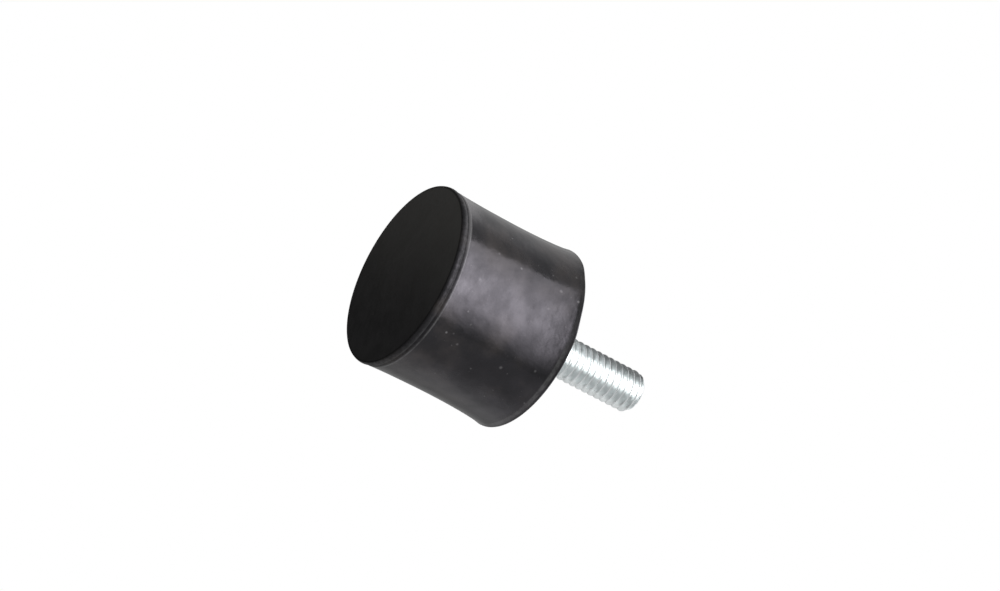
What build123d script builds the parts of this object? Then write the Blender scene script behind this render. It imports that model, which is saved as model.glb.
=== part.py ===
from build123d import *
import math
import os

# Rubber foot: a moulded rubber body, bonded to a steel end plate that carries a threaded stud.
# Sizes are in millimetres. The origin is the centre of the flat rubber face that stands on
# the bench, and +Z runs along the stud, which points up into what the foot carries.

# Rubber body
body_height = 19.4
face_diameter = 24.5
waist_diameter = 23.95
stud_end_diameter = 25.0

# Lip round the flat face: a low band that stands a little proud of the side
lip_height = 0.9
lip_step = 0.11
lip_groove_height = 0.3
face_edge_radius = 0.12

# Hollowed side: narrowest at the waist, then flaring out to the band at the stud end
waist_height = 9.5
flare_height = 15.2
stud_end_band = 0.5
stud_end_edge_radius = 0.2

# Steel end plate, moulded in flush with the stud end, with rubber round its rim
plate_thickness = 2.0
plate_edge_chamfer = 0.2
rubber_round_plate = 0.8

# Threaded stud: its shoulder is pressed into the plate and its head is buried in the rubber
stud_length = 17.7
stud_tip_chamfer = 0.7
stud_shoulder_diameter = 7.0
stud_head_diameter = 10.0
stud_head_thickness = 1.6
stud_head_edge_radius = 0.3

# Coarse thread, drawn as rings a pitch apart, with a plain length left between it and the plate
thread_diameter = 6.0
thread_pitch = 1.0
thread_depth = 0.61
thread_crest_flat = 0.125
thread_angle = 60.0
thread_plain_length = 0.7


def outer_form():
    """The moulded outline, radius across and height up, turned about Z with no pockets."""
    face_radius = face_diameter / 2
    side_radius = face_radius - lip_step
    waist_radius = waist_diameter / 2
    band_radius = stud_end_diameter / 2
    side_start = lip_height + lip_groove_height

    face_edge_start = (face_radius - face_edge_radius, 0)
    face_edge_end = (face_radius, face_edge_radius)
    lip_top = (face_radius, lip_height)
    side_foot = (side_radius, side_start)
    waist = (waist_radius, waist_height)
    band_foot = (band_radius, body_height - stud_end_band)
    end_edge_start = (band_radius, body_height - stud_end_edge_radius)
    end_edge_end = (band_radius - stud_end_edge_radius, body_height)

    # Both side curves meet the waist along its upright line, so there is no crease there.
    lower_control = (waist_radius, (side_start + waist_height) / 2)
    upper_control = (waist_radius, flare_height)

    outline = [
        Line((0, 0), face_edge_start),
        RadiusArc(face_edge_start, face_edge_end, -face_edge_radius),
        Line(face_edge_end, lip_top),
        Line(lip_top, side_foot),
        Bezier(side_foot, lower_control, waist),
        Bezier(waist, upper_control, band_foot),
        Line(band_foot, end_edge_start),
        RadiusArc(end_edge_start, end_edge_end, -stud_end_edge_radius),
        Line(end_edge_end, (0, body_height)),
        Line((0, body_height), (0, 0)),
    ]
    return revolve(Plane.XZ * make_face(Wire(outline)), Axis.Z)


def solid_cylinder(diameter, bottom, top):
    """An upright cylinder on the Z axis between two heights."""
    base = Pos(0, 0, bottom)
    return base * Cylinder(diameter / 2, top - bottom, align=(Align.CENTER, Align.CENTER, Align.MIN))


def rim_edges(shape, height):
    """The circular edges of a turned shape that lie at one height."""
    return shape.edges().filter_by(GeomType.CIRCLE).filter_by_position(Axis.Z, height, height)


def thread_groove(height):
    """One groove of the thread, as a ring round Z. It reaches out past the crests."""
    crest_radius = thread_diameter / 2
    root_radius = crest_radius - thread_depth
    mouth_half = (thread_pitch - thread_crest_flat) / 2
    root_half = mouth_half - thread_depth * math.tan(math.radians(thread_angle / 2))
    outside = crest_radius + thread_depth
    section = Polyline(
        (root_radius, height - root_half),
        (crest_radius, height - mouth_half),
        (outside, height - mouth_half),
        (outside, height + mouth_half),
        (crest_radius, height + mouth_half),
        (root_radius, height + root_half),
        close=True,
    )
    return revolve(Plane.XZ * make_face(section), Axis.Z)


def thread_grooves(bottom, top):
    """The grooves, from the tip down, as many as fit above the plain length."""
    groove_count = math.floor(round((top - bottom) / thread_pitch, 6))
    return [thread_groove(top - (turn + 0.5) * thread_pitch) for turn in range(groove_count)]


def threaded_stud():
    """Head, shoulder in the plate and the free end with its thread."""
    plate_bottom = body_height - plate_thickness
    head_bottom = plate_bottom - stud_head_thickness
    stud_top = body_height + stud_length
    head = solid_cylinder(stud_head_diameter, head_bottom, plate_bottom)
    head = fillet(rim_edges(head, head_bottom), stud_head_edge_radius)
    shoulder = solid_cylinder(stud_shoulder_diameter, plate_bottom, body_height)
    threaded = solid_cylinder(thread_diameter, body_height, stud_top)
    threaded = chamfer(rim_edges(threaded, stud_top), stud_tip_chamfer)
    threaded = threaded - thread_grooves(body_height + thread_plain_length, stud_top)
    return head + shoulder + threaded


def end_plate(stud):
    """A stamped disc whose hole grips the stud's shoulder."""
    plate_diameter = stud_end_diameter - 2 * rubber_round_plate
    plate_bottom = body_height - plate_thickness
    plate = solid_cylinder(plate_diameter, plate_bottom, body_height)
    plate = chamfer(rim_edges(plate, plate_bottom), plate_edge_chamfer)
    return plate - stud


def rubber_body(plate, stud):
    """The moulding, cast round the plate and the stud's head."""
    return outer_form() - plate - stud


stud = threaded_stud()
plate = end_plate(stud)
body = rubber_body(plate, stud)

os.makedirs("parts", exist_ok=True)
export_step(body, "parts/rubber_body.step")
export_step(plate, "parts/end_plate.step")
export_step(stud, "parts/threaded_stud.step")
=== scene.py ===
import math

import bmesh
import bpy
from bpy.props import FloatProperty, FloatVectorProperty, IntProperty, PointerProperty
from mathutils import Matrix, Vector, noise


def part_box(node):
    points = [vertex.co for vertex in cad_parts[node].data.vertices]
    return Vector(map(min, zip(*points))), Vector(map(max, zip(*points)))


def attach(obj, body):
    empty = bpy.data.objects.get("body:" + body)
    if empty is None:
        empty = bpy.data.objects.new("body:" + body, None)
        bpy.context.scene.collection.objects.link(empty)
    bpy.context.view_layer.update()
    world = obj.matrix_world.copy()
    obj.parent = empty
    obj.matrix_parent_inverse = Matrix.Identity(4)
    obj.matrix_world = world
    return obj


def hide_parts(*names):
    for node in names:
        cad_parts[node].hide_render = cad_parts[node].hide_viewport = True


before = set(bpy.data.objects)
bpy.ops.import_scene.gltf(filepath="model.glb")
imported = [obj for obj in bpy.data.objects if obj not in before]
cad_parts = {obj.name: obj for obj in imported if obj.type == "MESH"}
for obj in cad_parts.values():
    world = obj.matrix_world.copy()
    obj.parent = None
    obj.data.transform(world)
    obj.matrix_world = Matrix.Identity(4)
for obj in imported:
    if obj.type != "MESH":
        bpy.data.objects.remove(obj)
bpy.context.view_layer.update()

bl_info = {
    "name": "Rubber Foot",
    "version": (1, 0, 0),
    "blender": (4, 5, 0),
    "location": "View3D > Sidebar > Rubber Foot",
    "description": "Dresses a moulded rubber foot with its steel end plate and threaded stud",
    "category": "Add Mesh",
}

MM = 0.001

# Size of the photograph
PICTURE_WIDTH_PX = 1000
PICTURE_HEIGHT_PX = 591

# Lowest and highest corners of the solids that the pieces stand for
BODY_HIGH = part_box("rubber_body")[1]
PLATE_LOW, PLATE_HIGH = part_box("end_plate")
STUD_LOW, STUD_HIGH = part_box("threaded_stud")

# Small trims, which are the same whatever the sizes are. A support is how far a ring of points
# lies from a rounded edge, to keep the flat beyond it shaded flat
PLATE_CHAMFER = 0.2 * MM
HEAD_EDGE = 0.3 * MM
METAL_EDGE = 0.08 * MM
METAL_SUPPORT = 3 * METAL_EDGE
RUBBER_SUPPORT = 0.05 * MM

# Facets round the end plate, and how steep a corner is before it looks crisp
PLATE_SEGMENTS = 192
CRISP_ANGLE = math.radians(32)

# Points this close together are one point
TOUCHING = 1e-7

# The rim's low place, in degrees round the stud: its middle, and how far from there the dip
# keeps its full depth and where it ends
RIM_DIP_ANGLE = -130
RIM_DIP_FULL = 12
RIM_DIP_END = 30

# How the moulded side wanders: what lies inside the waist by more than this isn't moulded skin,
# the length of the long waves and of the short ones, and how strong the short ones are
SKIN_DEPTH = 0.2 * MM
LONG_WAVE = 6 * MM
SHORT_WAVE = 1.7 * MM
SHORT_WAVE_SHARE = 0.4

# The painted highlight line by the rim, in mm: how far below the stud end it lies, and the stretch
# of X over which it gets stronger
RIM_HIGHLIGHT_DEPTH = 0.7
RIM_HIGHLIGHT_ACROSS = (-2.5, 1.5)

# Painted light in the groove, lighter on the -X side where light falls, in mm: how far below the
# side's start it lies, the stretch of X over which it fades out, and how much of the rubber it hides
GROOVE_LIGHT_DEPTH = 0.12
GROOVE_LIGHT_ACROSS = (-9.5, -4.0)
GROOVE_LIGHT_COVER = 0.45

# Painted light on the side just past the lip, on the -X side where light falls, in mm: how far
# above the side's start it begins to thin out, the height at which it ends, the stretch of X over
# which it fades out, and how much of the rubber it hides
SIDE_LIGHT_RISE = 0.2
SIDE_LIGHT_TOP = 4.4
SIDE_LIGHT_ACROSS = (-11.2, -9.6)
SIDE_LIGHT_COVER = 0.5

# The lip's finish, in mm: how far below the side's start it turns into the side's, the stretch
# of X over which its gloss drops and the share that is left, and how far above the face's edge
# it reaches its full gloss
LIP_FINISH_DEPTH = 0.3
LIP_GLOSS_ACROSS = (-3.0, 0.6)
LIP_GLOSS_LEFT = 0.6
LIP_GLOSS_RISE = 0.16

# Dust that clings to the side: angle round the stud in degrees, height and radius in mm,
# and how much of the rubber it hides
DUST_SPOTS = (
    (-148.2, 8.0, 0.14, 0.38),
    (-141.6, 17.8, 0.14, 0.38),
    (-134.8, 14.3, 0.12, 0.26),
    (-130.2, 6.0, 0.14, 0.30),
    (-128.1, 9.5, 0.16, 0.56),
    (-126.4, 15.7, 0.20, 0.45),
    (-124.9, 18.3, 0.16, 0.60),
    (-112.3, 14.5, 0.15, 0.26),
    (-108.6, 4.2, 0.20, 0.26),
    (-88.6, 4.5, 0.13, 0.52),
    (-86.3, 1.4, 0.10, 0.38),
    (-82.4, 5.7, 0.14, 0.22),
    (-75.6, 16.6, 0.16, 0.30),
    (-73.0, 4.4, 0.12, 0.22),
    (-71.6, 3.5, 0.14, 0.71),
    (-68.0, 5.7, 0.15, 0.34),
    (-67.5, 12.5, 0.20, 0.38),
    (-57.6, 9.4, 0.13, 0.26),
    (-54.3, 18.3, 0.14, 0.26),
    (-43.5, 13.8, 0.13, 0.22),
)

# A speck is solid out to the first share of its radius and gone at the second
SPECK_SOLID = 0.2
SPECK_END = 1.6

# The flat face's painted light, lighter towards -X where light falls on it, in mm: the stretch of X
# over which it fades out, and how far the fade wanders from a straight line
FACE_LIGHT_ACROSS = (-12.0, 11.0)
FACE_LIGHT_WANDER = 6.0

# Painted shade: the flat face darkens outwards between these distances in from its edge, in mm,
# to this share
FACE_RIM_SHADE = (0.42, 0.22)
FACE_RIM_SHADE_LEFT = 0.4

# Zinc plate: the share of its colour that is left where it is cloudy, and how far its roughness
# goes below and above its middle value
CLOUDY_SHARE = 0.86
ZINC_SMOOTHER = 0.05
ZINC_ROUGHER = 0.1

# Floor, in metres: half its width, and how far below the flat face it lies
FLOOR_HALF_WIDTH = 1.5
FLOOR_DEPTH = 0.03 * MM

# Softbox: its distance in metres, the stretch that it covers round Z and upwards in degrees,
# and the cells in its mesh
SOFTBOX_DISTANCE = 0.45
SOFTBOX_AZIMUTHS = (-170, -58)
SOFTBOX_HEIGHTS = (8, 62)
SOFTBOX_COLUMNS = 56
SOFTBOX_ROWS = 24

# How the softbox's brightness changes, in degrees. Round Z: where its dim end rises, where its
# other end fades in, and where its top comes down. Upwards: where its bottom fades in, and
# where its upper half gets brighter
DIM_END = (-168, -118)
FADING_END = (-55, -114)
TOP_FALL = (-150, -105)
BOTTOM_FADE = (12, 25)
UPPER_HALF = (27, 38)

# The room brightens from below the floor to above it between these heights of a unit direction
HORIZON = (-0.35, 0.2)

# Soft patches of the room: the studio's setting for each, its direction, and the angles in
# degrees round that direction where it starts to fade and where it ends
ROOM_PATCHES = (
    ("window", (-0.60, 0.62, 0.50), 14, 34),
    ("skylight", (-0.58, 0.36, 0.73), 8, 22),
    ("flag", (-0.90, 0.42, -0.06), 14, 32),
    ("reflector", (0.96, 0.275, 0.0), 18, 43),
    ("table", (0.60, 0.72, -0.34), 12, 34),
    ("table_front", (0.84, -0.53, -0.09), 12, 34),
    ("fill", (-0.47, 0.67, -0.57), 10, 28),
    ("overhead", (0, 0, 1), 22, 46),
)

# The white sweep below the foot, as only mirroring surfaces see it
SWEEP_PATCH = ((0, 0, -1), 14, 40)


# Sizes, colours and light that a user would change

def length(name, description, default_mm, low_mm=0.0):
    """A length property shown in the scene's units."""
    return FloatProperty(
        name=name,
        description=description,
        default=default_mm * MM,
        min=low_mm * MM,
        subtype="DISTANCE",
        unit="LENGTH",
    )


def angle(name, description, default_degrees):
    """An angle property shown in degrees."""
    return FloatProperty(
        name=name,
        description=description,
        default=math.radians(default_degrees),
        subtype="ANGLE",
        unit="ROTATION",
    )


def colour(name, description, default):
    """A linear colour property."""
    return FloatVectorProperty(
        name=name, description=description, default=default, size=3, min=0, max=1, subtype="COLOR"
    )


def level(name, description, default):
    """How strong a light or a gloss is."""
    return FloatProperty(name=name, description=description, default=default, min=0)


def roughness(name, description, default):
    """A roughness, from nought for a mirror to one for chalk."""
    return FloatProperty(name=name, description=description, default=default, min=0, max=1)


def pixels(name, description, default):
    """A place or size in the picture, in pixels."""
    return FloatProperty(name=name, description=description, default=default)


class FootBodySizes(bpy.types.PropertyGroup):
    face_diameter: length("Face diameter", "Across the flat rubber face", 24.5)
    face_edge: length("Face edge", "Rounding where the flat face meets the lip", 0.05)
    lip_crest: length("Lip crest", "Height of the lip's widest place", 0.44)
    lip_round: length("Lip round", "Rounding of the lip's bulge", 0.75)
    lip_height: length("Lip height", "Height at which the lip falls into the groove", 0.84)
    groove_height: length("Groove height", "Height of the bottom of the groove", 0.97)
    groove_depth: length("Groove depth", "How far the groove is below the side", 0.05)
    side_step: length("Side step", "How far the side is inside the lip", 0.11)
    side_start: length("Side start", "Height at which the side begins", 1.42)
    waist_diameter: length("Waist diameter", "Across the narrowest place of the side", 23.95)
    waist_height: length("Waist height", "Height of the narrowest place", 9.5)
    lower_swing: length("Lower swing", "Height that the side's lower curve swings from", 3.6)
    flare_height: length("Flare height", "Height that the flare's curve swings from", 15.2)
    end_flick: length("End flick", "Height of the last, steeper part of the flare", 0.75)
    end_edge: length("End edge", "Rounding at the stud end", 0.2)
    rim_dip: length("Rim dip", "How far the rim lies low on one side", 0.24)
    unevenness: length("Unevenness", "How far the moulded side wanders from true", 0.012)
    segments: IntProperty(name="Segments", description="Facets round the body", default=288, min=24)


class FootThreadSizes(bpy.types.PropertyGroup):
    pitch: length("Pitch", "Distance from crest to crest", 1.0, 0.1)
    crest_diameter: length("Crest diameter", "Across the crests of the plated thread", 5.64)
    blank_diameter: length("Blank diameter", "Across the stud before its thread is rolled", 5.4)
    tip_diameter: length("Tip diameter", "Across the flat tip, inside the chamfer", 4.6)
    run_out: length("Run-out", "Length over which the thread rises from the blank", 1.2, 0.1)
    shoulder_diameter: length("Shoulder diameter", "Across the shoulder pressed into the plate", 7.0)
    segments: IntProperty(name="Segments", description="Facets round the stud", default=96, min=24)


class FootFinish(bpy.types.PropertyGroup):
    rubber: colour("Rubber", "Colour of the moulded rubber", (0.018, 0.018, 0.019))
    bloom_and_face_light: colour("Bloom", "Colour of the faint bloom on the rubber", (0.042, 0.037, 0.034))
    face: colour("Face", "Colour of the rubber of the flat face", (0.005, 0.005, 0.0045))
    # Painted light: this colour makes the face's -X side lighter, where light falls on it
    face_painted_light: colour("Face bloom", "Colour of the bloom on one side of the face", (0.100, 0.098, 0.090))
    # Painted highlight: lighter broken lines where the side starts and by the rim stand in for edges
    # catching the light
    painted_highlight: colour("Scuff", "Colour of the worn lines on the side", (0.085, 0.085, 0.085))
    rubber_sheen: colour("Rubber sheen", "Tint of the rubber's gloss", (0.94, 0.88, 1.0))
    # One colour for the real dust specks and for the painted light in the groove and past the lip on one
    # side
    dust_and_light: colour("Dust", "Colour of the dust", (0.22, 0.215, 0.22))
    zinc: colour("Zinc", "Colour of the stud's bright plating", (0.905, 0.945, 0.95))
    plate: colour("Plate", "Colour of the end plate's duller plating", (0.60, 0.625, 0.63))
    side_roughness: roughness("Side roughness", "Roughness of the moulded side", 0.16)
    lip_roughness: roughness("Lip roughness", "Roughness of the lip and its groove", 0.46)
    face_roughness: roughness("Face roughness", "Roughness of the flat face", 0.5)
    zinc_roughness: roughness("Zinc roughness", "Roughness of the stud's plating", 0.31)
    plate_roughness: roughness("Plate roughness", "Roughness of the end plate's plating", 0.42)
    side_gloss: level("Side gloss", "Gloss level of the moulded side", 0.5)
    lip_gloss: level("Lip gloss", "Gloss level of the lip, which is duller than the side", 0.30)
    face_gloss: level("Face gloss", "Gloss level of the flat face, which is duller still", 0.16)


class FootStudio(bpy.types.PropertyGroup):
    floor: colour("Floor", "Colour of the floor", (0.74, 0.74, 0.74))
    surround: level("Surround", "Brightness of the studio above the floor", 0.38)
    under: level("Under", "Brightness of the studio just below the floor", 0.12)
    window: level("Window", "Extra brightness of the window beside the softbox", 0.30)
    skylight: level("Skylight", "Extra brightness high up between the window and the softbox", 0.8)
    flag: level("Flag", "Brightness that a black flag takes away low down by the window", 0.18)
    reflector: level("Reflector", "Extra brightness of the reflector across from the flag", 0.50)
    table: level("Table", "Extra brightness low down, past the stud's lower side", 0.8)
    table_front: level("Table front", "Extra brightness low down, before the stud's lower side", 0.37)
    fill: level("Fill", "Extra brightness low down, past the stud's upper side", 0.10)
    overhead: level("Overhead", "Extra brightness of the ceiling", 1.05)
    sweep: level("Sweep", "Extra brightness of the white backdrop below, as the steel mirrors it", 0.9)
    softbox: level("Softbox", "Brightness of the softbox's diffuser", 5.3)
    lens_mm: FloatProperty(name="Lens", description="Focal length in mm", default=108.0, min=10)
    stud_down: angle("Stud down", "How far the stud points below level in the picture", 27.80)
    stud_away: angle("Stud away", "How far the stud points away from the camera", 26.58)
    face_x_px: pixels("Face x", "Centre of the flat face across the picture", 403.37)
    face_y_px: pixels("Face y", "Centre of the flat face down the picture", 273.74)
    face_radius_px: pixels("Face radius", "Radius of the flat face in the picture", 98.32)


# Points and curves

def between(ends, share):
    """The value a share of the way from the first end to the second."""
    return ends[0] + (ends[1] - ends[0]) * share


def smooth_step(value, low, high):
    """Nought below low, one above high and an easy curve between. High may be the smaller one."""
    share = min(max((value - low) / (high - low), 0.0), 1.0)
    return share * share * (3 - 2 * share)


def point_round(radius, turned, height):
    """A point at a radius from Z, turned round it by an angle in radians, at a height."""
    return radius * math.cos(turned), radius * math.sin(turned), height


def arc(centre, radius, start, end, steps):
    """Points on an arc, as (radius from the axis, height), from one angle to another in degrees."""
    points = []
    for step in range(steps + 1):
        turned = math.radians(between((start, end), step / steps))
        points.append((centre[0] + radius * math.cos(turned), centre[1] + radius * math.sin(turned)))
    return points


def bend(start, control, end, steps):
    """Points on a quadratic curve, without its first point."""
    points = []
    for step in range(1, steps + 1):
        t = step / steps
        near, middle, far = (1 - t) ** 2, 2 * t * (1 - t), t * t
        points.append(tuple(near * a + middle * b + far * c for a, b, c in zip(start, control, end)))
    return points


# Meshes

def finished_mesh(name, build):
    """The mesh that was being built."""
    mesh = bpy.data.meshes.new(name)
    build.to_mesh(mesh)
    build.free()
    return mesh


def place(name, data):
    """Puts an object into the scene."""
    placed = bpy.data.objects.new(name, data)
    bpy.context.scene.collection.objects.link(placed)
    return placed


def new_piece(name, build, materials):
    """Makes an object from a bmesh, shaded smooth with crisp corners."""
    bmesh.ops.recalc_face_normals(build, faces=build.faces)
    mesh = finished_mesh(name, build)
    mesh.shade_smooth()
    mesh.set_sharp_from_angle(angle=CRISP_ANGLE)
    for material in materials:
        mesh.materials.append(material)
    return place(name, mesh)


def turn(build, outline, segments, closed=False):
    """Turns (radius, height) points about Z. A point on the axis becomes one vertex."""
    rings = []
    for radius, height in outline:
        if radius < TOUCHING:
            rings.append([build.verts.new((0, 0, height))])
            continue
        ring = []
        for step in range(segments):
            turned = 2 * math.pi * step / segments
            ring.append(build.verts.new(point_round(radius, turned, height)))
        rings.append(ring)
    pairs = list(zip(rings, rings[1:]))
    if closed:
        pairs.append((rings[-1], rings[0]))
    for lower, upper in pairs:
        join_rings(build, lower, upper)
    return rings


def join_rings(build, lower, upper):
    """Faces between two rings, either of which may be a single vertex on the axis."""
    count = max(len(lower), len(upper))
    for step in range(count):
        after = (step + 1) % count
        if len(lower) == 1:
            corners = (lower[0], upper[after], upper[step])
        elif len(upper) == 1:
            corners = (lower[step], lower[after], upper[0])
        else:
            corners = (lower[step], lower[after], upper[after], upper[step])
        build.faces.new(corners)


# Rubber body

def body_outline(sizes):
    """The moulding's outline: face, lip, groove, hollowed side, rim and the pocket."""
    points = lip_outline(sizes)
    points += side_outline(sizes, points[-1])
    points += rim_outline(sizes, points[-1])
    return points + pocket_outline()


def lip_outline(sizes):
    """From the middle of the flat face out to the top of the bulging lip."""
    face = sizes.face_diameter / 2
    edge = sizes.face_edge
    bulge = sizes.lip_round
    lip_centre = (face - bulge, sizes.lip_crest)
    lip_foot = -math.degrees(math.asin((sizes.lip_crest - edge) / bulge))
    lip_end = math.degrees(math.asin((sizes.lip_height - sizes.lip_crest) / bulge))
    flat = lip_centre[0] + bulge * math.cos(math.radians(lip_foot)) - edge
    points = [(0, 0), (face / 2, 0), (flat - RUBBER_SUPPORT, 0)]
    points += arc((flat, edge), edge, -90, lip_foot, steps=4)
    return points + arc(lip_centre, bulge, lip_foot, lip_end, steps=14)[1:]


def side_outline(sizes, lip_top):
    """From the lip through the groove and up the hollowed side to its waist."""
    side = sizes.face_diameter / 2 - sizes.side_step
    groove = side - sizes.groove_depth
    bottom = (groove, sizes.groove_height)
    side_foot = (side, sizes.side_start)
    waist = (sizes.waist_diameter / 2, sizes.waist_height)
    fall = (groove, (sizes.lip_height + sizes.groove_height) / 2)
    rise = (side, (sizes.groove_height * 2 + sizes.side_start) / 3)
    points = bend(lip_top, fall, bottom, steps=4)
    points += bend(bottom, rise, side_foot, steps=8)
    return points + bend(side_foot, (waist[0], sizes.lower_swing), waist, steps=14)


def rim_outline(sizes, waist):
    """From the waist up the flare and its last flick, and over the rim at the stud end."""
    band = BODY_HIGH.x
    edge = sizes.end_edge
    edge_foot = BODY_HIGH.z - edge
    flick_out = 0.18 * sizes.end_flick
    swing_out = 0.1 * sizes.end_flick
    flick = (band - flick_out, edge_foot - sizes.end_flick)
    flick_swing = (band - swing_out, edge_foot - sizes.end_flick / 2)
    points = bend(waist, (waist[0], sizes.flare_height), flick, steps=18)
    points += bend(flick, flick_swing, (band, edge_foot), steps=5)
    points += arc((band - edge, edge_foot), edge, 0, 90, steps=5)
    return points + [(band - edge - RUBBER_SUPPORT, BODY_HIGH.z)]


def pocket_outline():
    """The pocket in the rubber that the plate and the stud's head fill."""
    plate = PLATE_HIGH.x
    chamfer_foot = (plate, PLATE_LOW.z + PLATE_CHAMFER)
    points = [(plate, PLATE_HIGH.z), chamfer_foot, (plate - PLATE_CHAMFER, PLATE_LOW.z)]
    return points + head_outline()


def side_radius(sizes, height):
    """Radius of the side at a height, read off the outline."""
    top = BODY_HIGH.z - sizes.end_edge
    outline = [point for point in body_outline(sizes) if sizes.side_start <= point[1] <= top]
    for (near, low), (far, high) in zip(outline, outline[1:]):
        if low <= height <= high and high > low:
            return between((near, far), (height - low) / (high - low))
    return outline[0][0]


def roughen_side(build, sizes):
    """Lets the moulded side wander a little from true, with its rim low on one side."""
    skin = sizes.waist_diameter / 2 - SKIN_DEPTH
    for vertex in build.verts:
        reach = vertex.co.xy.length
        if reach < skin:
            continue
        if sizes.side_start < vertex.co.z < BODY_HIGH.z - sizes.end_edge:
            wander = noise.noise(vertex.co / LONG_WAVE)
            wander += SHORT_WAVE_SHARE * noise.noise(vertex.co / SHORT_WAVE)
            vertex.co.xy *= 1 + sizes.unevenness * wander / reach
        around = math.degrees(math.atan2(vertex.co.y, vertex.co.x))
        near_top = smooth_step(vertex.co.z, BODY_HIGH.z - 4 * sizes.rim_dip, BODY_HIGH.z)
        near_dip = smooth_step(abs(around - RIM_DIP_ANGLE), RIM_DIP_END, RIM_DIP_FULL)
        vertex.co.z -= sizes.rim_dip * near_top * near_dip


# End plate and stud

def plate_outline(hole):
    """The disc's section: a chamfer below, and rounded edges above at its rim and its hole."""
    rim, low, high = PLATE_HIGH.x, PLATE_LOW.z, PLATE_HIGH.z
    edge = METAL_EDGE
    points = [(hole, low), (rim - PLATE_CHAMFER, low), (rim, low + PLATE_CHAMFER)]
    points += arc((rim - edge, high - edge), edge, 0, 90, steps=4)
    points += [(rim - METAL_SUPPORT, high), (hole + METAL_SUPPORT, high)]
    return points + arc((hole + edge, high - edge), edge, 90, 180, steps=4)


def shoulder_outline(sizes, bottom):
    """The shoulder in the plate and the head in the rubber, from the plate's face down."""
    shoulder = sizes.shoulder_diameter / 2
    edge = METAL_EDGE
    points = [(shoulder - METAL_SUPPORT, bottom)]
    points += arc((shoulder - edge, bottom - edge), edge, 90, 0, steps=4)
    return points + [(shoulder, PLATE_LOW.z)] + head_outline()


def head_outline():
    """The stud's head, from its top edge under the plate down to the axis."""
    head = STUD_HIGH.x
    points = [(head, PLATE_LOW.z)]
    points += arc((head - HEAD_EDGE, STUD_LOW.z + HEAD_EDGE), HEAD_EDGE, 0, -90, steps=4)
    return points + [(0, STUD_LOW.z)]


def thread_profile(pitch):
    """One pitch of a rolled coarse thread: (share of the pitch, depth below the crest)."""
    flank_depth = 0.5413 * pitch
    root_depth = 0.6134 * pitch
    crest_round = 0.02 * pitch
    root_round = 0.01 * pitch
    crest_half, root_start, root_middle = 0.0625, 0.375, 0.5
    near_root = 0.43
    down = [(-crest_half, crest_round), (0.0, 0.0), (crest_half, crest_round)]
    for share in (0.25, 0.5, 0.75):
        down.append((between((crest_half, root_start), share), share * flank_depth))
    down += [(root_start, flank_depth), (near_root, root_depth - root_round), (root_middle, root_depth)]
    up = [(1 - share, depth) for share, depth in reversed(down[3:-1])]
    return down + up


def thread_columns(build, sizes, bottom, top):
    """Upright columns of vertices that follow the helix, trimmed at both ends of the stud."""
    crest = sizes.crest_diameter / 2
    blank = sizes.blank_diameter / 2
    tip = sizes.tip_diameter / 2
    profile = thread_profile(sizes.pitch)
    turns_below, turns_above = 2, 1
    turns = math.ceil((top - bottom) / sizes.pitch) + turns_below + turns_above
    columns = []
    for step in range(sizes.segments):
        share_round = step / sizes.segments
        column = []
        for turn_number in range(turns):
            for share, depth in profile:
                height = bottom + sizes.pitch * (turn_number - turns_below + share + share_round)
                height = min(max(height, bottom), top)
                rise = smooth_step(height, bottom, bottom + sizes.run_out)
                radius = blank + rise * (crest - depth - blank)
                radius = min(radius, tip + top - height)
                column.append(build.verts.new(point_round(radius, 2 * math.pi * share_round, height)))
        columns.append(column)
    return columns, len(profile)


def join_columns(build, columns, per_turn):
    """Faces between neighbouring columns. The last column meets the first one a turn higher."""
    count = len(columns)
    for step in range(count):
        here = columns[step]
        after = columns[(step + 1) % count]
        lift = per_turn if step == count - 1 else 0
        for row in range(len(here) - 1 - lift):
            build.faces.new((here[row], after[row + lift], after[row + 1 + lift], here[row + 1]))


# Nodes that the materials share

def empty_material(name):
    """A material with nothing in its node tree but its output."""
    material = bpy.data.materials.new(name)
    material.use_nodes = True
    tree = material.node_tree
    tree.nodes.clear()
    return material, tree, tree.nodes.new("ShaderNodeOutputMaterial")


def new_material(name):
    """A material with its output and its main shader."""
    material, tree, output = empty_material(name)
    shader = tree.nodes.new("ShaderNodeBsdfPrincipled")
    tree.links.new(shader.outputs["BSDF"], output.inputs["Surface"])
    return material, tree, shader


def millimetre_coordinates(tree, stretch=(1, 1, 1)):
    """Object coordinates counted in millimetres."""
    coordinates = tree.nodes.new("ShaderNodeTexCoord")
    mapping = tree.nodes.new("ShaderNodeMapping")
    mapping.inputs["Scale"].default_value = [share / MM for share in stretch]
    tree.links.new(coordinates.outputs["Object"], mapping.inputs["Vector"])
    return mapping.outputs["Vector"]


def axes(tree, vector):
    """The X, Y and Z of a vector, by name."""
    parts = tree.nodes.new("ShaderNodeSeparateXYZ")
    tree.links.new(vector, parts.inputs["Vector"])
    return parts.outputs


def measure(tree, operation, vector, other=(0, 0, 0)):
    """One number measured from a vector, such as its distance to a point."""
    node = tree.nodes.new("ShaderNodeVectorMath")
    node.operation = operation
    tree.links.new(vector, node.inputs[0])
    node.inputs[1].default_value = other
    return node.outputs["Value"]


def noise_at(tree, vector, scale, detail, coarseness=0.55):
    """A noise texture's value at a number of cycles in a millimetre."""
    texture = tree.nodes.new("ShaderNodeTexNoise")
    texture.inputs["Scale"].default_value = scale
    texture.inputs["Detail"].default_value = detail
    texture.inputs["Roughness"].default_value = coarseness
    tree.links.new(vector, texture.inputs["Vector"])
    return texture.outputs["Fac"]


def remap(tree, value, low, high, to_low, to_high):
    """The value carried from one range to another along an easy curve, held at both ends."""
    node = tree.nodes.new("ShaderNodeMapRange")
    node.interpolation_type = "SMOOTHSTEP"
    ends = {"From Min": low, "From Max": high, "To Min": to_low, "To Max": to_high}
    for socket, number in ends.items():
        node.inputs[socket].default_value = number
    tree.links.new(value, node.inputs["Value"])
    return node.outputs["Result"]


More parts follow.
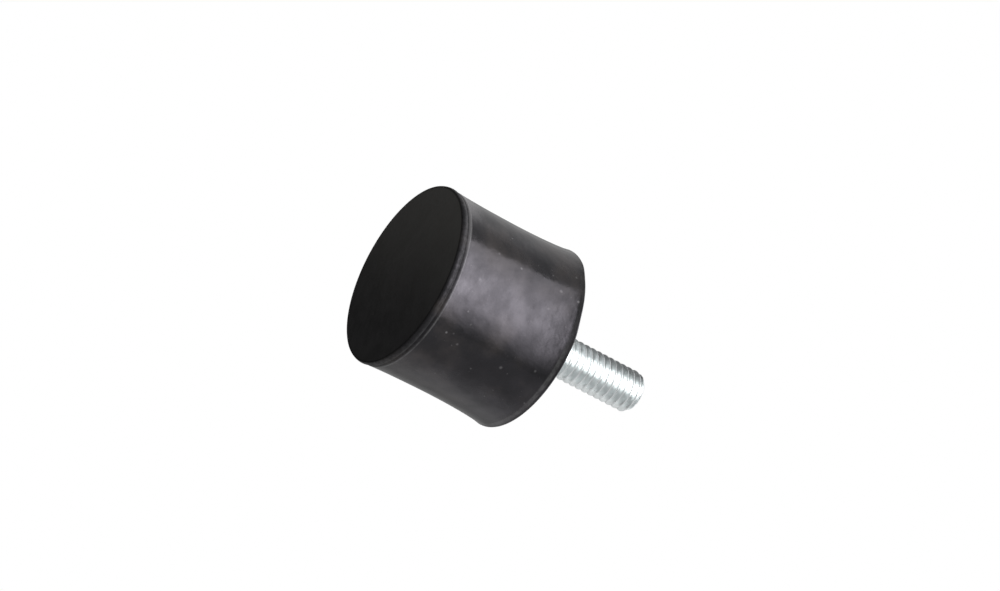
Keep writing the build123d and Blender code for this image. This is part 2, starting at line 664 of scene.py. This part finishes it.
def mix_colours(tree, factor, first, second):
    """One colour fading to another. Each is a link or three numbers."""
    node = tree.nodes.new("ShaderNodeMix")
    node.data_type = "RGBA"
    tree.links.new(factor, node.inputs["Factor"])
    inputs = [socket for socket in node.inputs if socket.type == "RGBA"]
    for socket, value in zip(inputs, (first, second)):
        if isinstance(value, bpy.types.NodeSocket):
            tree.links.new(value, socket)
        else:
            socket.default_value = (*value, 1.0)
    return [socket for socket in node.outputs if socket.type == "RGBA"][0]


def maths(tree, operation, first, second=0.0):
    """One arithmetic node on links or numbers."""
    node = tree.nodes.new("ShaderNodeMath")
    node.operation = operation
    for socket, value in zip(node.inputs, (first, second)):
        if isinstance(value, bpy.types.NodeSocket):
            tree.links.new(value, socket)
        else:
            socket.default_value = value
    return node.outputs["Value"]


def bump(tree, height, distance_mm, under=None):
    """A bump of a real height over another one."""
    node = tree.nodes.new("ShaderNodeBump")
    node.inputs["Strength"].default_value = 1.0
    node.inputs["Distance"].default_value = distance_mm * MM
    tree.links.new(height, node.inputs["Height"])
    if under is not None:
        tree.links.new(under, node.inputs["Normal"])
    return node.outputs["Normal"]


def ring_mask(tree, value, middle, solid, fade):
    """One near a value of a coordinate, fading to nought on both sides of it."""
    away = maths(tree, "ABSOLUTE", maths(tree, "SUBTRACT", value, middle))
    return remap(tree, away, solid, solid + fade, 1.0, 0.0)


# Rubber

def rubber_skin(tree, shader, vector, base, rough, gloss, finish):
    """What the side and the face share: fine specks, uneven gloss, soft mottling and grain.

    The wear goes up and down round the roughness, and the uneven gloss round the gloss level.
    """
    fine_specks = remap(tree, noise_at(tree, vector, scale=2.6, detail=1.0), 0.74, 0.80, 0.0, 0.22)
    tree.links.new(mix_colours(tree, fine_specks, base, finish.dust_and_light), shader.inputs["Base Color"])
    wear = noise_at(tree, vector, scale=0.5, detail=5.0)
    worn = maths(tree, "ADD", rough, remap(tree, wear, 0.3, 0.7, -0.03, 0.04))
    tree.links.new(worn, shader.inputs["Roughness"])
    patches = noise_at(tree, vector, scale=0.33, detail=5.0, coarseness=0.62)
    uneven = maths(tree, "MULTIPLY", gloss, remap(tree, patches, 0.32, 0.68, 0.8, 1.2))
    tree.links.new(uneven, shader.inputs["Specular IOR Level"])
    shader.inputs["Specular Tint"].default_value = (*finish.rubber_sheen, 1.0)
    mottle = bump(tree, noise_at(tree, vector, scale=0.7, detail=2.0), distance_mm=0.03)
    pores = noise_at(tree, vector, scale=5.0, detail=4.0, coarseness=0.7)
    grain = bump(tree, pores, distance_mm=0.003, under=mottle)
    tree.links.new(grain, shader.inputs["Normal"])


def painted_highlight_lines(tree, vector, where, sizes):
    """Masks for two broken painted highlight lines: at the side's start and by the rim at the stud end.
    """
    broken = remap(tree, noise_at(tree, vector, scale=1.1, detail=3.0), 0.3, 0.6, 0.35, 1.0)
    start_line = ring_mask(tree, where["Z"], sizes.side_start / MM, solid=0.02, fade=0.16)
    rim_line = ring_mask(tree, where["Z"], BODY_HIGH.z / MM - RIM_HIGHLIGHT_DEPTH, solid=0.1, fade=0.3)
    one_side = remap(tree, where["X"], *RIM_HIGHLIGHT_ACROSS, 0.25, 1.0)
    rim_line = maths(tree, "MULTIPLY", rim_line, one_side)
    return [maths(tree, "MULTIPLY", line, broken) for line in (start_line, rim_line)]


def painted_light_and_dust(tree, vector, where, sizes, past_lip):
    """Masks for painted light in the groove and above it on one side, and for the dust specks."""
    side_start = sizes.side_start / MM
    groove = ring_mask(tree, where["Z"], side_start - GROOVE_LIGHT_DEPTH, solid=0.08, fade=0.3)
    groove_stretch = remap(tree, where["X"], *GROOVE_LIGHT_ACROSS, GROOVE_LIGHT_COVER, 0.0)
    above = remap(tree, where["Z"], side_start + SIDE_LIGHT_RISE, SIDE_LIGHT_TOP, SIDE_LIGHT_COVER, 0.0)
    above = maths(tree, "MULTIPLY", above, past_lip)
    side_stretch = remap(tree, where["X"], *SIDE_LIGHT_ACROSS, 1.0, 0.0)
    return [
        maths(tree, "MULTIPLY", groove_stretch, groove),
        maths(tree, "MULTIPLY", side_stretch, above),
        dust_specks(tree, vector, sizes),
    ]


def dust_specks(tree, vector, sizes):
    """How much a speck of dust hides, and nought elsewhere."""
    mask = None
    for around, height, radius, cover in DUST_SPOTS:
        reach = side_radius(sizes, height * MM) / MM
        away = measure(tree, "DISTANCE", vector, point_round(reach, math.radians(around), height))
        speck = remap(tree, away, radius * SPECK_SOLID, radius * SPECK_END, cover, 0.0)
        mask = speck if mask is None else maths(tree, "MAXIMUM", mask, speck)
    return mask


def side_material(name, finish, sizes):
    """Black moulded rubber with a mottled tint, painted highlight lines, painted light on one side and
    dust specks; glossier on its side than its lip.
    """
    material, tree, shader = new_material(name)
    vector = millimetre_coordinates(tree)
    where = axes(tree, vector)
    side_start = sizes.side_start / MM
    lip_end = side_start - LIP_FINISH_DEPTH
    past_lip = remap(tree, where["Z"], lip_end, side_start, 0.0, 1.0)

    bloom_and_face_light = remap(tree, noise_at(tree, vector, scale=0.16, detail=4.0), 0.45, 0.72, 0.0, 0.8)
    base = mix_colours(tree, bloom_and_face_light, finish.rubber, finish.bloom_and_face_light)
    # Painted highlight: two lighter broken lines, where the side starts and by the rim
    for mask in painted_highlight_lines(tree, vector, where, sizes):
        base = mix_colours(tree, mask, base, finish.painted_highlight)
    # Painted light in the groove and past the lip on the -X side, then the real dust specks
    for mask in painted_light_and_dust(tree, vector, where, sizes, past_lip):
        base = mix_colours(tree, mask, base, finish.dust_and_light)

    rough = remap(tree, where["Z"], lip_end, side_start, finish.lip_roughness, finish.side_roughness)
    edge = sizes.face_edge / MM
    least_gloss = finish.lip_gloss * LIP_GLOSS_LEFT
    lip_gloss = remap(tree, where["X"], *LIP_GLOSS_ACROSS, finish.lip_gloss, least_gloss)
    patchy = remap(tree, noise_at(tree, vector, scale=1.8, detail=3.0), 0.35, 0.65, 0.6, 1.35)
    on_lip = remap(tree, where["Z"], edge, edge + LIP_GLOSS_RISE, 0.3, 1.0)
    lip_gloss = maths(tree, "MULTIPLY", lip_gloss, maths(tree, "MULTIPLY", on_lip, patchy))
    side_gloss = maths(tree, "MULTIPLY", past_lip, finish.side_gloss)
    gloss = maths(tree, "MAXIMUM", lip_gloss, side_gloss)
    rubber_skin(tree, shader, vector, base, rough, gloss, finish)
    return material


def face_material(name, finish, sizes):
    """The flat face's duller rubber: painted light on one side, painted shade round its edge."""
    material, tree, shader = new_material(name)
    vector = millimetre_coordinates(tree)
    # Painted light: the face is coloured lighter towards -X, where light falls on it
    wander = noise_at(tree, vector, scale=0.08, detail=3.0)
    wander = maths(tree, "MULTIPLY", wander, FACE_LIGHT_WANDER)
    across = maths(tree, "ADD", wander, axes(tree, vector)["X"])
    bloom_and_face_light = remap(tree, across, *FACE_LIGHT_ACROSS, 1.0, 0.0)
    base = mix_colours(tree, bloom_and_face_light, finish.face, finish.face_painted_light)
    # Painted shade: a dark line round the face's edge, its colour going towards black and its gloss
    # falling
    rim = sizes.face_diameter / 2 / MM
    rim_start, rim_end = (rim - inset for inset in FACE_RIM_SHADE)
    inside = remap(tree, measure(tree, "LENGTH", vector), rim_start, rim_end, 1.0, FACE_RIM_SHADE_LEFT)
    base = mix_colours(tree, inside, (0.0, 0.0, 0.0), base)
    gloss = maths(tree, "MULTIPLY", inside, finish.face_gloss)
    rubber_skin(tree, shader, vector, base, finish.face_roughness, gloss, finish)
    return material


# Steel

def zinc_material(name, bright, rough, streaks):
    """Zinc plate: slightly cloudy, with fine marks along the work."""
    material, tree, shader = new_material(name)
    shader.inputs["Metallic"].default_value = 1.0
    vector = millimetre_coordinates(tree)
    streaked = millimetre_coordinates(tree, streaks)

    cloud = remap(tree, noise_at(tree, vector, scale=0.9, detail=4.0), 0.35, 0.7, 0.0, 1.0)
    dull = [channel * CLOUDY_SHARE for channel in bright]
    tree.links.new(mix_colours(tree, cloud, bright, dull), shader.inputs["Base Color"])

    marks = noise_at(tree, streaked, scale=2.0, detail=4.0)
    uneven = remap(tree, marks, 0.3, 0.7, rough - ZINC_SMOOTHER, rough + ZINC_ROUGHER)
    tree.links.new(uneven, shader.inputs["Roughness"])
    crystals = noise_at(tree, vector, scale=7.0, detail=3.0, coarseness=0.6)
    crystals = bump(tree, crystals, distance_mm=0.004)
    tree.links.new(bump(tree, marks, distance_mm=0.004, under=crystals), shader.inputs["Normal"])
    return material


# Pieces

class FOOT_OT_rubber_body(bpy.types.Operator):
    """Make the moulded rubber body with its lip, groove, hollowed side and pocket"""

    bl_idname = "foot.rubber_body"
    bl_label = "Rubber Body"

    def execute(self, context):
        sizes = context.scene.foot_body
        finish = context.scene.foot_finish
        build = bmesh.new()
        turn(build, body_outline(sizes), sizes.segments)
        roughen_side(build, sizes)
        side = side_material("moulded_rubber_side", finish, sizes)
        face = face_material("moulded_rubber_face", finish, sizes)
        for polygon in build.faces:
            if all(vertex.co.z < TOUCHING for vertex in polygon.verts):
                polygon.material_index = 1
        piece = new_piece("rubber_foot_body", build, (side, face))
        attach(piece, "root")
        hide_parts("rubber_body")
        return {"FINISHED"}


class FOOT_OT_end_plate(bpy.types.Operator):
    """Make the stamped steel disc that carries the stud"""

    bl_idname = "foot.end_plate"
    bl_label = "End Plate"

    def execute(self, context):
        finish = context.scene.foot_finish
        hole = context.scene.foot_thread.shoulder_diameter / 2
        build = bmesh.new()
        turn(build, plate_outline(hole), PLATE_SEGMENTS, closed=True)
        plating = zinc_material("zinc_plate", finish.plate, finish.plate_roughness, (1, 1, 1))
        piece = new_piece("stamped_end_plate", build, (plating,))
        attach(piece, "root")
        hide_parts("end_plate")
        return {"FINISHED"}


class FOOT_OT_threaded_stud(bpy.types.Operator):
    """Make the stud with a real helical thread, its shoulder and its buried head"""

    bl_idname = "foot.threaded_stud"
    bl_label = "Threaded Stud"

    def execute(self, context):
        sizes = context.scene.foot_thread
        finish = context.scene.foot_finish
        bottom = PLATE_HIGH.z
        top = STUD_HIGH.z
        build = bmesh.new()
        columns, per_turn = thread_columns(build, sizes, bottom, top)
        join_columns(build, columns, per_turn)
        tip_ring = [column[-1] for column in columns]
        tip_centre = build.verts.new((0, 0, top))
        join_rings(build, tip_ring, [tip_centre])
        foot_ring = [column[0] for column in columns]
        rings = turn(build, shoulder_outline(sizes, bottom), sizes.segments)
        join_rings(build, rings[0], foot_ring)
        bmesh.ops.remove_doubles(build, verts=build.verts, dist=TOUCHING)
        bmesh.ops.dissolve_degenerate(build, edges=build.edges, dist=TOUCHING / 10)
        plating = zinc_material("zinc_thread", finish.zinc, finish.zinc_roughness, (0.4, 0.4, 5))
        piece = new_piece("zinc_threaded_stud", build, (plating,))
        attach(piece, "root")
        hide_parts("threaded_stud")
        return {"FINISHED"}


# Stage

def floor_mesh(name):
    """A square floor just below the flat face, facing up."""
    build = bmesh.new()
    corners = []
    for x, y in ((-1, -1), (1, -1), (1, 1), (-1, 1)):
        corners.append(build.verts.new((x * FLOOR_HALF_WIDTH, y * FLOOR_HALF_WIDTH, -FLOOR_DEPTH)))
    build.faces.new(corners)
    return finished_mesh(name, build)


def floor_material(name, shade):
    """A plain floor seen from above. From below, and to every ray but the camera's, it isn't there."""
    material, tree, output = empty_material(name)
    clear = tree.nodes.new("ShaderNodeBsdfTransparent")
    matt = tree.nodes.new("ShaderNodeBsdfDiffuse")
    matt.inputs["Color"].default_value = (*shade, 1.0)
    side = tree.nodes.new("ShaderNodeNewGeometry")
    path = tree.nodes.new("ShaderNodeLightPath")
    above = maths(tree, "SUBTRACT", 1.0, side.outputs["Backfacing"])
    shown = maths(tree, "MULTIPLY", above, path.outputs["Is Camera Ray"])
    mix = tree.nodes.new("ShaderNodeMixShader")
    tree.links.new(shown, mix.inputs["Fac"])
    tree.links.new(clear.outputs["BSDF"], mix.inputs[1])
    tree.links.new(matt.outputs["BSDF"], mix.inputs[2])
    tree.links.new(mix.outputs["Shader"], output.inputs["Surface"])
    return material


def key_glow(azimuth, elevation):
    """The softbox's brightness: dimmer at one end, fading out at the other, at top and at bottom."""
    dimmest, rise, upper_extra = 0.41, 0.57, 0.8
    top_drop, top_fade = 12, 10
    across = (dimmest + rise * smooth_step(azimuth, *DIM_END)) * smooth_step(azimuth, *FADING_END)
    top = SOFTBOX_HEIGHTS[1] - top_drop * smooth_step(azimuth, *TOP_FALL)
    upright = smooth_step(elevation, *BOTTOM_FADE) * smooth_step(elevation, top, top - top_fade)
    return across * upright * (1 + upper_extra * smooth_step(elevation, *UPPER_HALF))


def softbox_mesh(name):
    """A curved diffuser round the object, with its brightness at each corner kept as an attribute."""
    build = bmesh.new()
    rows = []
    brightness = []
    for up in range(SOFTBOX_ROWS + 1):
        elevation = between(SOFTBOX_HEIGHTS, up / SOFTBOX_ROWS)
        reach = SOFTBOX_DISTANCE * math.cos(math.radians(elevation))
        height = SOFTBOX_DISTANCE * math.sin(math.radians(elevation))
        row = []
        for step in range(SOFTBOX_COLUMNS + 1):
            azimuth = between(SOFTBOX_AZIMUTHS, step / SOFTBOX_COLUMNS)
            row.append(build.verts.new(point_round(reach, math.radians(azimuth), height)))
            brightness.append(key_glow(azimuth, elevation))
        rows.append(row)
    for lower, upper in zip(rows, rows[1:]):
        for step in range(SOFTBOX_COLUMNS):
            build.faces.new((lower[step], lower[step + 1], upper[step + 1], upper[step]))
    mesh = finished_mesh(name, build)
    attribute = mesh.attributes.new("glow", "FLOAT", "POINT")
    attribute.data.foreach_set("value", brightness)
    return mesh


def diffuser_material(name, strength):
    """Light whose strength follows the mesh's brightness."""
    material, tree, output = empty_material(name)
    light = tree.nodes.new("ShaderNodeEmission")
    glow = tree.nodes.new("ShaderNodeAttribute")
    glow.attribute_name = "glow"
    tree.links.new(maths(tree, "MULTIPLY", glow.outputs["Fac"], strength), light.inputs["Strength"])
    tree.links.new(light.outputs["Emission"], output.inputs["Surface"])
    return material


def patch(tree, direction, toward, inner, outer, strength):
    """Light from round one direction of the room, fading out between two angles in degrees."""
    aim = measure(tree, "DOT_PRODUCT", direction, Vector(toward).normalized())
    near, far = math.cos(math.radians(inner)), math.cos(math.radians(outer))
    return remap(tree, aim, far, near, 0.0, strength)


def room_light(tree, direction, glossy, studio):
    """Brightness of the room in each direction. Only what mirrors sees the white sweep below."""
    light = remap(tree, axes(tree, direction)["Z"], *HORIZON, studio.under, studio.surround)
    for name, toward, inner, outer in ROOM_PATCHES:
        change = "SUBTRACT" if name == "flag" else "ADD"
        lit = patch(tree, direction, toward, inner, outer, getattr(studio, name))
        light = maths(tree, change, light, lit)
    sweep = patch(tree, direction, *SWEEP_PATCH, studio.sweep)
    return maths(tree, "ADD", light, maths(tree, "MULTIPLY", sweep, glossy))


def add_world(studio):
    """A white backdrop to the camera, and a soft grey room to everything else."""
    world = bpy.data.worlds.new("studio_room")
    bpy.context.scene.world = world
    world.use_nodes = True
    tree = world.node_tree
    tree.nodes.clear()
    output = tree.nodes.new("ShaderNodeOutputWorld")
    backdrop = tree.nodes.new("ShaderNodeBackground")
    backdrop.inputs["Color"].default_value = (1, 1, 1, 1)
    room = tree.nodes.new("ShaderNodeBackground")
    direction = tree.nodes.new("ShaderNodeTexCoord").outputs["Generated"]
    path = tree.nodes.new("ShaderNodeLightPath")
    light = room_light(tree, direction, path.outputs["Is Glossy Ray"], studio)
    tree.links.new(light, room.inputs["Strength"])
    mix = tree.nodes.new("ShaderNodeMixShader")
    tree.links.new(path.outputs["Is Camera Ray"], mix.inputs["Fac"])
    tree.links.new(room.outputs["Background"], mix.inputs[1])
    tree.links.new(backdrop.outputs["Background"], mix.inputs[2])
    tree.links.new(mix.outputs["Shader"], output.inputs["Surface"])


def add_camera(studio, face_radius):
    """Places the camera so that the face and the stud lie in the picture as photographed."""
    data = bpy.data.cameras.new("photo_camera")
    data.lens = studio.lens_mm
    data.clip_start = 0.01
    data.clip_end = 10.0
    focal_px = data.lens / data.sensor_width * PICTURE_WIDTH_PX
    depth = focal_px / studio.face_radius_px * face_radius
    across = (studio.face_x_px - PICTURE_WIDTH_PX / 2) / focal_px * depth
    up = (PICTURE_HEIGHT_PX / 2 - studio.face_y_px) / focal_px * depth
    face_centre = Vector((across, up, -depth))

    in_picture = math.cos(studio.stud_away)
    right = math.cos(studio.stud_down) * in_picture
    down = math.sin(studio.stud_down) * in_picture
    stud = Vector((right, -down, -math.sin(studio.stud_away)))
    to_camera = Vector((0, 0, 1))
    world_y = -(to_camera - to_camera.dot(stud) * stud).normalized()
    world_x = world_y.cross(stud)
    turned = Matrix((world_x, world_y, stud))
    camera = place("photo_camera", data)
    camera.matrix_world = Matrix.Translation(-(turned @ face_centre)) @ turned.to_4x4()
    bpy.context.scene.camera = camera


class FOOT_OT_stage(bpy.types.Operator):
    """Make the floor, the softbox, the studio room and the camera"""

    bl_idname = "foot.stage"
    bl_label = "Stage"

    def execute(self, context):
        studio = context.scene.foot_studio
        floor = place("studio_floor", floor_mesh("studio_floor"))
        floor.data.materials.append(floor_material("floor_paint", studio.floor))
        softbox = place("key_softbox", softbox_mesh("key_softbox"))
        softbox.data.materials.append(diffuser_material("key_diffuser", studio.softbox))
        softbox.visible_camera = False
        add_world(studio)
        add_camera(studio, context.scene.foot_body.face_diameter / 2)
        context.scene.view_settings.view_transform = "Standard"
        return {"FINISHED"}


class FOOT_PT_panel(bpy.types.Panel):
    """Lists the foot's pieces, sizes and finishes"""

    bl_idname = "FOOT_PT_panel"
    bl_label = "Rubber Foot"
    bl_space_type = "VIEW_3D"
    bl_region_type = "UI"
    bl_category = "Rubber Foot"

    def draw(self, context):
        layout = self.layout
        for operator in OPERATORS:
            layout.operator(operator.bl_idname)
        for name in GROUPS:
            group = getattr(context.scene, name)
            box = layout.box()
            for key in group.__annotations__:
                box.prop(group, key)


OPERATORS = (FOOT_OT_rubber_body, FOOT_OT_end_plate, FOOT_OT_threaded_stud, FOOT_OT_stage)
GROUPS = {
    "foot_body": FootBodySizes,
    "foot_thread": FootThreadSizes,
    "foot_finish": FootFinish,
    "foot_studio": FootStudio,
}


def register():
    """Makes the sizes, the operators and the panel known."""
    for name, group in GROUPS.items():
        bpy.utils.register_class(group)
        setattr(bpy.types.Scene, name, PointerProperty(type=group))
    for operator in OPERATORS:
        bpy.utils.register_class(operator)
    bpy.utils.register_class(FOOT_PT_panel)


def unregister():
    """Takes them away again, last one first."""
    bpy.utils.unregister_class(FOOT_PT_panel)
    for operator in reversed(OPERATORS):
        bpy.utils.unregister_class(operator)
    for name, group in reversed(GROUPS.items()):
        delattr(bpy.types.Scene, name)
        bpy.utils.unregister_class(group)


def main():
    """Makes the pieces and the stage."""
    register()
    bpy.ops.foot.rubber_body()
    bpy.ops.foot.end_plate()
    bpy.ops.foot.threaded_stud()
    bpy.ops.foot.stage()


if __name__ == "__main__":
    main()
